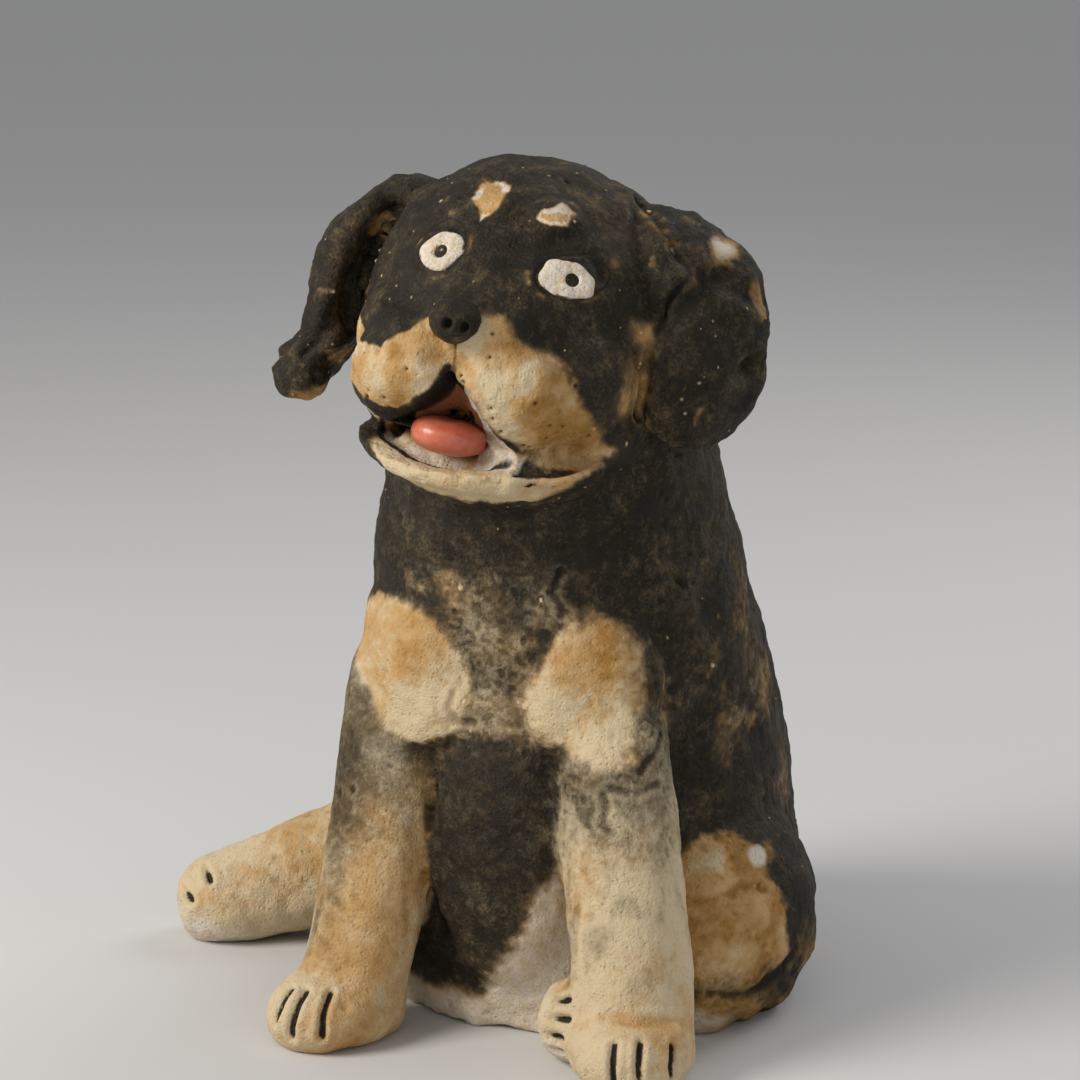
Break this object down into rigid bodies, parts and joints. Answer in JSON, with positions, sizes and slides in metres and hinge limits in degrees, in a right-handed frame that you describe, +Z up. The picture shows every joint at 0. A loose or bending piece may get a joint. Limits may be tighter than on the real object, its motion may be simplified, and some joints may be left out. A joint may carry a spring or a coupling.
{
  "type": "ceramic dog figurine",
  "caption": "Hand-built fired clay figurine of a seated puppy with hanging ears, swollen muzzle and open mouth, hollow and open at its foot, to stand on a shelf or table.",
  "frame": {"origin": "middle of the bounding box's base, on the surface the figurine stands on", "axes": "+Z up, +X towards the dog's left side, -Y the way the dog faces"},
  "size_m": [0.2028, 0.2024, 0.2481],
  "materials": {
    "black_wash": "matte",
    "grey_wash": "matte",
    "tan_wash": "matte",
    "cream_clay": "matte",
    "white_slip": "matte",
    "coral_glaze": "gloss"
  },
  "bodies": {
    "root": {"head_shell": "black_wash", "left_ear": "black_wash", "right_ear": "black_wash", "nose": "black_wash", "chest_pad": "black_wash", "tail": "black_wash", "torso_shell": "grey_wash", "left_brow_spot": "tan_wash", "right_brow_spot": "tan_wash", "left_shoulder_pad": "tan_wash", "right_shoulder_pad": "tan_wash", "left_haunch": "tan_wash", "right_haunch": "tan_wash", "left_muzzle_pad": "cream_clay", "right_muzzle_pad": "cream_clay", "lower_jaw": "cream_clay", "left_front_leg": "cream_clay", "right_front_leg": "cream_clay", "left_front_paw": "cream_clay", "right_front_paw": "cream_clay", "left_hind_foot": "cream_clay", "right_hind_leg": "cream_clay", "left_eye": "white_slip", "right_eye": "white_slip", "tongue": "coral_glaze"}
  },
  "joints": []
}
